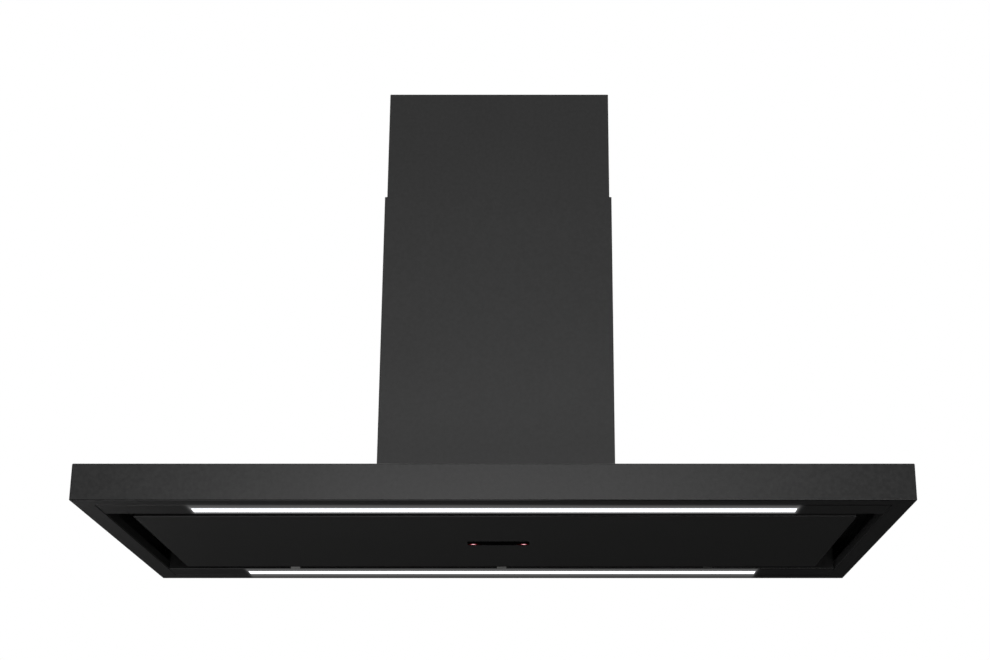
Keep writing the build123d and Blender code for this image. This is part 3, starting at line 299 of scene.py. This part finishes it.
# Bare metals
# Hot-dip galvanised sheet: pale grey crystals of zinc, each a little lighter or duller
zincSheet = {
    "colour": "9a9da0", "dark": "8d9093", "light": "a5a8ab", "roughness": 0.45, "metallic": 1.0,
    "smooth": 0.41, "rough": 0.5, "spangleMm": 12.0, "bump": 0.04, "bumpMm": 0.1,
    "warpMm": 16.667, "warpShare": 0.01,  # bends the crystals' straight borders
}
galvanised, tree, shader, place = newMaterial("hotDipGalvanisedSheet", zincSheet)
warp = addNode(tree, "ShaderNodeTexNoise",
               {"Scale": 1 / (zincSheet["warpMm"] * mm), "Detail": noiseDetail},
               {"Vector": place})
bent = addNode(tree, "ShaderNodeMix", {"data_type": "VECTOR", 0: zincSheet["warpShare"]},
               {4: place, 5: warp.outputs["Color"]})
spangle = addNode(tree, "ShaderNodeTexVoronoi", {"Scale": 1 / (zincSheet["spangleMm"] * mm)},
                  {"Vector": bent.outputs[1]})
tint = addNode(tree, "ShaderNodeMix",
               {"data_type": "RGBA", 6: hexColour(zincSheet["dark"]),
                7: hexColour(zincSheet["light"])},
               {0: spangle.outputs["Color"]})
dull = addNode(tree, "ShaderNodeMapRange",
               {"To Min": zincSheet["smooth"], "To Max": zincSheet["rough"]},
               {"Value": spangle.outputs["Color"]})
bump = addNode(tree, "ShaderNodeBump",
               {"Strength": zincSheet["bump"], "Distance": zincSheet["bumpMm"] * mm},
               {"Height": spangle.outputs["Distance"]})
tree.links.new(tint.outputs[2], shader.inputs["Base Color"])
tree.links.new(dull.outputs[0], shader.inputs["Roughness"])
tree.links.new(bump.outputs["Normal"], shader.inputs["Normal"])
dress(galvanised, "ceiling_plate", "airbox", "filter_tray", "panel_liner", "motor_bracket",
      "magnet_holder_left", "magnet_holder_right",
      *[name for name in nodes if "_leg_" in name])

# Zinc plated sheet with a grey passivation: duller than the galvanised one, satin on its bends
satinLook = {"colour": "6c6c6b", "dark": "626261", "light": "767675", "roughness": 0.4,
             "roughSpread": 0.05, "metallic": 1.0, "grainMm": 1.0, "driftMm": 12, "bump": 0.05,
             "bumpMm": 0.05}
satinZinc = dressGrainy("greyPassivatedZincSheet", satinLook, "hinge_bracket_left",
                        "hinge_bracket_middle", "hinge_bracket_right")

# Rolled aluminium: fine lines along the extrusion, a soft silver shine
rolledLook = {"colour": "b9babc", "dark": "a8a9ab", "light": "c6c7c9", "roughness": 0.38,
              "roughSpread": 0.08, "metallic": 1.0, "grainMm": 1.2, "driftMm": 90,
              "stretch": (0.06, 1, 1), "bump": 0.08, "bumpMm": 0.05}
dressGrainy("rolledAluminium", rolledLook, "filter_frame_left", "filter_frame_right",
            "front_led_module", "rear_led_module")

# Zinc plated screws, bolts and pins: slightly yellow, tumbled smooth
platedLook = {"colour": "a9a69c", "dark": "98958b", "light": "b7b4aa", "roughness": 0.34,
              "roughSpread": 0.06, "metallic": 1.0, "grainMm": 0.8, "driftMm": 6, "bump": 0.06,
              "bumpMm": 0.05}
dressGrainy("zincPlatedFasteners", platedLook, "canopy_screws", "upper_frame_screws",
            "frame_bolts", "frame_nuts", "motor_screws", "hinge_pins", "damper_pin",
            "motor_shaft")

# Black zinc screws in the chimney's sides: a dull dark grey with a faint shine
blackZincLook = dict(platedLook, colour="3b3b3d", dark="333335", light="434345", roughness=0.42,
                     metallic=0.6)
dressGrainy("blackZincScrews", blackZincLook, "upper_chimney_screws")

# Drawn and plated motor can: a plain grey with a broad drift
canLook = dict(platedLook, colour="8e9093", dark="808285", light="9a9c9f", roughness=0.4,
               driftMm=30)
dressGrainy("drawnSteelMotorCan", canLook, "motor")

# Nickel plated magnets: warm and bright
nickelLook = dict(platedLook, colour="c3beb4", dark="b5b0a6", light="cdc8be", roughness=0.2,
                  driftMm=10)
dressGrainy("nickelPlatedMagnets", nickelLook, "panel_magnets")
print("metals done")

# Plastics
# Injection moulded polypropylene: flat mid grey with a spark-eroded grain
greyLook = {"colour": "6b6e71", "dark": "636669", "light": "737679", "roughness": 0.5,
            "roughSpread": 0.05, "ior": 1.49, "grainMm": 0.9, "driftMm": 60, "bump": 0.12,
            "bumpMm": 0.12}
dressGrainy("mouldedPolypropyleneGrey", greyLook, "blower_scroll_left", "blower_scroll_right",
            "outlet_collar", "damper_flap_left", "damper_flap_right", "control_box",
            "control_lid")

# Glass filled nylon: near black, slightly rough from the fibres
nylonLook = {"colour": "262627", "dark": "202021", "light": "2e2e2f", "roughness": 0.46,
             "roughSpread": 0.07, "ior": 1.53, "grainMm": 0.7, "driftMm": 40, "bump": 0.12,
             "bumpMm": 0.1}
dressGrainy("mouldedNylonBlack", nylonLook, "impeller", "filter_latch_left",
            "filter_latch_right", "cable_gland", "sensor_housing")

# Opal acrylic lens, lit from behind: even white, a touch brighter over each diode
lensLook = {"colour": "f4f5f7", "roughness": 0.35, "ior": 1.49, "diodePitchMm": 9.0,
            "power": 2.0, "light": "fbfcff", "dim": "f0f3fb"}
waveRepeat = math.pi / 10  # a wave texture of scale 1 repeats after this
opalAcrylic, tree, shader, place = newMaterial("opalAcrylicLens", lensLook)
diodes = addNode(tree, "ShaderNodeTexWave",
                 {"Scale": waveRepeat / (lensLook["diodePitchMm"] * mm), "bands_direction": "X"},
                 {"Vector": place})
tint = addNode(tree, "ShaderNodeMix",
               {"data_type": "RGBA", 6: hexColour(lensLook["dim"]),
                7: hexColour(lensLook["light"])},
               {0: diodes.outputs["Fac"]})
tree.links.new(tint.outputs[2], shader.inputs["Emission Color"])
shader.inputs["Emission Strength"].default_value = lensLook["power"]
dress(opalAcrylic, "front_light_lens", "rear_light_lens")

# Smoked acrylic window: polished and almost black, with two small lit points behind it
windowLook = {
    "colour": "010101", "roughness": 0.12, "ior": 1.49,
    "specular": 0.001,  # an anti-reflective film, so that grazing light leaves it black
    "pointX": 40.2, "pointY": 6.4, "pointLong": 6.0, "pointWide": 2.4,  # all in mm
    "pointColour": "ffdce4", "power": 2.8,
    "haloWide": 15.0, "haloColour": "ff2040", "haloPower": 0.02,
    "smearMm": 20.0, "polished": 0.05, "smeared": 0.14,
}
smokedWindow, tree, shader, place = newMaterial("smokedAcrylicWindow", windowLook)
inMm = addNode(tree, "ShaderNodeMapping", {"Scale": (1 / mm, 1 / mm, 0)}, {"Vector": place})
inMm = addNode(tree, "ShaderNodeSeparateXYZ", links={0: inMm.outputs[0]})
sideways = addNode(tree, "ShaderNodeMath", {"operation": "ABSOLUTE"}, {0: inMm.outputs["X"]})
fromPoint = addNode(tree, "ShaderNodeCombineXYZ",
                    links={0: sideways.outputs[0], 1: inMm.outputs["Y"]})
fromPoint = addNode(tree, "ShaderNodeVectorMath",
                    {"operation": "SUBTRACT", 1: (windowLook["pointX"], windowLook["pointY"], 0)},
                    {0: fromPoint.outputs[0]})
fromPoint = addNode(tree, "ShaderNodeVectorMath",
                    {"operation": "DIVIDE",
                     1: (windowLook["pointLong"], windowLook["pointWide"], 1)},
                    {0: fromPoint.outputs[0]})
fromPoint = addNode(tree, "ShaderNodeVectorMath", {"operation": "LENGTH"},
                    {0: fromPoint.outputs[0]})
core = addNode(tree, "ShaderNodeMapRange",
               {"interpolation_type": "SMOOTHSTEP", "From Min": 1.0, "From Max": 0.0},
               {"Value": fromPoint.outputs["Value"]})
halo = addNode(tree, "ShaderNodeMapRange",
               {"interpolation_type": "SMOOTHSTEP",
                "From Min": windowLook["haloWide"] / windowLook["pointLong"], "From Max": 0.0,
                "To Max": windowLook["haloPower"]},
               {"Value": fromPoint.outputs["Value"]})
glow = addNode(tree, "ShaderNodeMath", {"operation": "MULTIPLY_ADD", 1: windowLook["power"]},
               {0: core.outputs[0], 2: halo.outputs[0]})
tint = addNode(tree, "ShaderNodeMix",
               {"data_type": "RGBA", 6: hexColour(windowLook["haloColour"]),
                7: hexColour(windowLook["pointColour"])},
               {0: core.outputs[0]})
smear = addNode(tree, "ShaderNodeTexNoise",
                {"Scale": 1 / (windowLook["smearMm"] * mm), "Detail": noiseDetail},
                {"Vector": place})
polish = addNode(tree, "ShaderNodeMapRange",
                 {"To Min": windowLook["polished"], "To Max": windowLook["smeared"]},
                 {"Value": smear.outputs["Fac"]})
tree.links.new(polish.outputs[0], shader.inputs["Roughness"])
tree.links.new(tint.outputs[2], shader.inputs["Emission Color"])
tree.links.new(glow.outputs[0], shader.inputs["Emission Strength"])
dress(smokedWindow, "sensor_window")
print("plastics done")

# Feet of the panel's hinge brackets
# The back plate runs on below the bracket and is folded up to the front: a sloped face that shines
hingeFoot = {"sheet": 1.5, "fold": 3.0, "edge": 0.6, "flat": 0.4, "lap": 0.4, "clearance": 0.3}


def foldedFoot(name, low, high):
    sheet, fold, edge = [hingeFoot[key] * mm for key in ("sheet", "fold", "edge")]
    top = low.z + hingeFoot["lap"] * mm
    bottom = barFace + hingeFoot["clearance"] * mm
    heel = high.y - edge - hingeFoot["flat"] * mm
    inside = high.y - sheet
    outerTip = Vector((heel - fold, bottom + fold))
    innerTip = outerTip + Vector((1, 1)) * sheet / math.sqrt(2)
    # round the section, from the back plate's outer face over the foot to its inner face
    profile = [(high.y, top), (high.y, bottom + edge), (high.y - edge, bottom), (heel, bottom),
               outerTip, innerTip, (inside, innerTip.y - (inside - innerTip.x)), (inside, top)]
    bm = bmesh.new()
    ends = [[bm.verts.new((x, y, z)) for y, z in profile] for x in (low.x, high.x)]
    for i in range(len(profile)):
        bm.faces.new((ends[0][i], ends[0][i - 1], ends[1][i - 1], ends[1][i]))
    bm.faces.new(ends[0])
    bm.faces.new(reversed(ends[1]))
    bmesh.ops.recalc_face_normals(bm, faces=bm.faces)
    return pieceFrom(bm, name, satinZinc)


for side in ("left", "middle", "right"):
    foot = foldedFoot("hinge_foot_" + side, *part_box("hinge_bracket_" + side))
    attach(foot, "hood")
print("hinge feet done")

# Expanded aluminium in the grease filters
# Slit and stretched sheet: diamond cells between flat strands at a tilt, in two crossed layers
meshLook = {"colour": "b4b6b8", "dark": "a0a2a4", "light": "c4c6c8", "roughness": 0.4,
            "roughSpread": 0.08, "metallic": 1.0, "grainMm": 1.0, "driftMm": 40, "bump": 0.06,
            "bumpMm": 0.05}
expandedAluminium = grainy("expandedAluminium", meshLook)[0]
filterMesh = {"cellWide": 11.0, "cellDeep": 6.0, "strandWide": 1.3, "strandThick": 0.5,
              "tilt": 35.0, "layers": 2, "rim": 1.2}


def strands(bm, low, high, height, layer):
    # zigzag strands that touch their neighbours at each knuckle
    cellWide, cellDeep, rim = [filterMesh[key] * mm for key in ("cellWide", "cellDeep", "rim")]
    halfWide = filterMesh["strandWide"] * mm / 2
    halfThick = filterMesh["strandThick"] * mm / 2
    columns = int((high.x - low.x - 2 * rim) / (cellWide / 2))
    rows = int((high.y - low.y - 2 * rim - cellDeep) / cellDeep)
    stepX = (high.x - low.x - 2 * rim) / columns
    stepY = (high.y - low.y - 2 * rim - 2 * halfWide) / rows
    lean = math.radians(filterMesh["tilt"]) * (1 if layer % 2 else -1)
    across = Vector((0, math.cos(lean), math.sin(lean))) * halfWide
    upward = Vector((0, -math.sin(lean), math.cos(lean))) * halfThick
    corners = (-across - upward, across - upward, across + upward, upward - across)
    for row in range(rows):
        last = None
        for column in range(columns + 1):
            swing = (stepY - halfWide) * (0.5 if (column + row + layer) % 2 else -0.5)
            spot = Vector((low.x + rim + column * stepX,
                           low.y + rim + halfWide + (row + 0.5) * stepY + swing, height))
            ring = [bm.verts.new(spot + corner) for corner in corners]
            if last:
                for i in range(4):
                    bm.faces.new((last[i], last[i - 1], ring[i - 1], ring[i]))
            else:
                bm.faces.new(ring)
            last = ring
        bm.faces.new(reversed(last))


def pressedRim(bm, low, high, height):
    # the flat edge that the filter's frame grips
    rim = Vector((filterMesh["rim"], filterMesh["rim"])) * mm
    thick = Vector((0, 0, filterMesh["strandThick"] * mm / 2))
    loops = []
    for inset, lift in ((0, -1), (0, 1), (1, 1), (1, -1)):
        near, far = low.xy + inset * rim, high.xy - inset * rim
        loops.append([bm.verts.new(Vector((x, y, height)) + lift * thick) for x, y in
                      (near, (far.x, near.y), far, (near.x, far.y))])
    for k in range(4):
        for i in range(4):
            bm.faces.new((loops[k][i], loops[k][i - 1], loops[k - 1][i - 1], loops[k - 1][i]))


def expandedSheet(name, low, high):
    bm = bmesh.new()
    for layer in range(filterMesh["layers"]):
        height = low.z + (high.z - low.z) * (layer + 0.5) / filterMesh["layers"]
        strands(bm, low, high, height, layer)
        pressedRim(bm, low, high, height)
    bmesh.ops.recalc_face_normals(bm, faces=bm.faces)
    return pieceFrom(bm, name, expandedAluminium)


for side in ("left", "right"):
    sheet = expandedSheet("expanded_mesh_" + side, *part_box("filter_mesh_" + side))
    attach(sheet, "hood")
    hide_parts("filter_mesh_" + side)
print("filter meshes done")

# Floor, world and lights
studio = {
    "floorHeight": -6.0,  # deep enough for a look from below with the panel open
    "floorSide": 60.0, "floorParts": 8, "nearFloor": 1.2, "farFloor": 7.0, "nearLevel": 0.45,
    # height as a share from straight down to straight up, and how bright the room is there
    "sky": ((0.0, 0.01), (0.5, 0.041), (0.56, 0.15), (1.0, 0.7)),
}
# Rolled wall paint: pale, with the roller's soft stipple
floorLook = {"colour": "e6e6e4", "dark": "e2e2e0", "light": "eaeae8", "roughness": 0.7,
             "roughSpread": 0.05, "grainMm": 6.0, "driftMm": 900, "bump": 0.02, "bumpMm": 0.3}
paleFloor, tree, shader, place = grainy("rolledPaintFloor", floorLook)
# the floor runs out into the white of the room, with no horizon
outward = addNode(tree, "ShaderNodeVectorMath", {"operation": "LENGTH"}, {0: place})
outward = addNode(tree, "ShaderNodeMapRange",
                  {"interpolation_type": "SMOOTHSTEP", "From Min": studio["nearFloor"],
                   "From Max": studio["farFloor"], "To Min": studio["nearLevel"]},
                  {"Value": outward.outputs["Value"]})
shader.inputs["Emission Color"].default_value = hexColour("ffffff")
tree.links.new(outward.outputs[0], shader.inputs["Emission Strength"])
bm = bmesh.new()
bmesh.ops.create_grid(bm, x_segments=studio["floorParts"], y_segments=studio["floorParts"],
                      size=studio["floorSide"] / 2)
floor = pieceFrom(bm, "studio_floor", paleFloor)
floor.location.z = studio["floorHeight"]
floor.visible_diffuse = False
floor.visible_glossy = False

world = bpy.data.worlds.new("softbox room")
scene.world = world
world.use_nodes = True
sky = world.node_tree
sky.nodes.clear()
upward = addNode(sky, "ShaderNodeTexCoord")
upward = addNode(sky, "ShaderNodeSeparateXYZ", links={0: upward.outputs["Generated"]})
upward = addNode(sky, "ShaderNodeMapRange", {"From Min": -1.0, "From Max": 1.0},
                 {"Value": upward.outputs["Z"]})
ramp = addNode(sky, "ShaderNodeValToRGB", links={"Fac": upward.outputs[0]})
stops = ramp.color_ramp.elements  # comes with one stop at each end
for share, level in studio["sky"]:
    stop = stops[0] if share == 0 else stops[-1] if share == 1 else stops.new(share)
    stop.color = (level, level, level, 1)
softLight = addNode(sky, "ShaderNodeBackground", links={"Color": ramp.outputs["Color"]})
# what the camera itself sees behind the hood is plain white
whiteWall = addNode(sky, "ShaderNodeBackground", {"Color": hexColour("ffffff")})
seen = addNode(sky, "ShaderNodeLightPath")
choose = addNode(sky, "ShaderNodeMixShader",
                 links={0: seen.outputs["Is Camera Ray"], 1: softLight.outputs[0],
                        2: whiteWall.outputs[0]})
addNode(sky, "ShaderNodeOutputWorld", links={"Surface": choose.outputs[0]})

areaLights = {
    "key": {"at": (-0.06, -1.5, -0.62), "aim": (0.0, -0.3, -0.58), "size": (1.1, 0.5),
            "watts": 5.4},
    "frontHigh": {"at": (0.1, -2.6, 0.3), "aim": (0.0, -0.1, 0.1), "size": (0.6, 0.4),
                  "watts": 1.2},
    "below": {"at": (-0.47, -0.5, -2.1), "aim": (-0.47, -0.5, -0.7), "size": (1.15, 2.7),
              "watts": 6.8, "glossOnly": True},  # only for the thin lines along the bends
    "lowRearLeft": {"at": (-2.4, 2.4, -1.5), "aim": (-0.2, 0, -0.7), "size": (1.6, 0.8),
                    "watts": 7.2},
    "underFront": {"at": (0.7, -1.7, -1.7), "aim": (0.4, -0.28, -0.7), "size": (0.8, 0.6),
                   "watts": 3.5},
    "rearLeft": {"at": (-2.2, 2.4, 0.6), "aim": (0, 0, -0.4), "size": (2.8, 2.2),
                 "watts": 55.0},
    "rearRight": {"at": (2.4, 1.6, 0.4), "aim": (0, 0, -0.4), "size": (2.8, 2.2),
                  "watts": 55.0},
    "top": {"at": (0, 0.2, 2.2), "aim": (0, 0, 0), "size": (2.0, 1.4), "watts": 14.0},
}
for name, lamp in areaLights.items():
    light = bpy.data.lights.new(name, "AREA")
    light.shape = "RECTANGLE"
    light.size, light.size_y = lamp["size"]
    light.energy = lamp["watts"]
    holder = bpy.data.objects.new(name, light)
    holder.location = lamp["at"]
    direction = Vector(lamp["aim"]) - holder.location
    holder.rotation_euler = direction.to_track_quat("-Z", "Y").to_euler()
    holder.visible_camera = False
    holder.visible_diffuse = not lamp.get("glossOnly", False)
    scene.collection.objects.link(holder)
print("studio done")

# Camera
view = {"at": (0.0693, -2.5459, -1.228), "tilt": 107.299, "lens": 59.22, "side": -0.0476,
        "rise": 0.055}
cameraData = bpy.data.cameras.new("camera")
cameraData.lens = view["lens"]
cameraData.shift_x = view["side"]
cameraData.shift_y = view["rise"]
camera = bpy.data.objects.new("camera", cameraData)
camera.location = view["at"]
camera.rotation_euler.x = math.radians(view["tilt"])
scene.collection.objects.link(camera)
scene.camera = camera
scene.view_settings.view_transform = "Standard"
print("camera done")

bpy.context.view_layer.update()
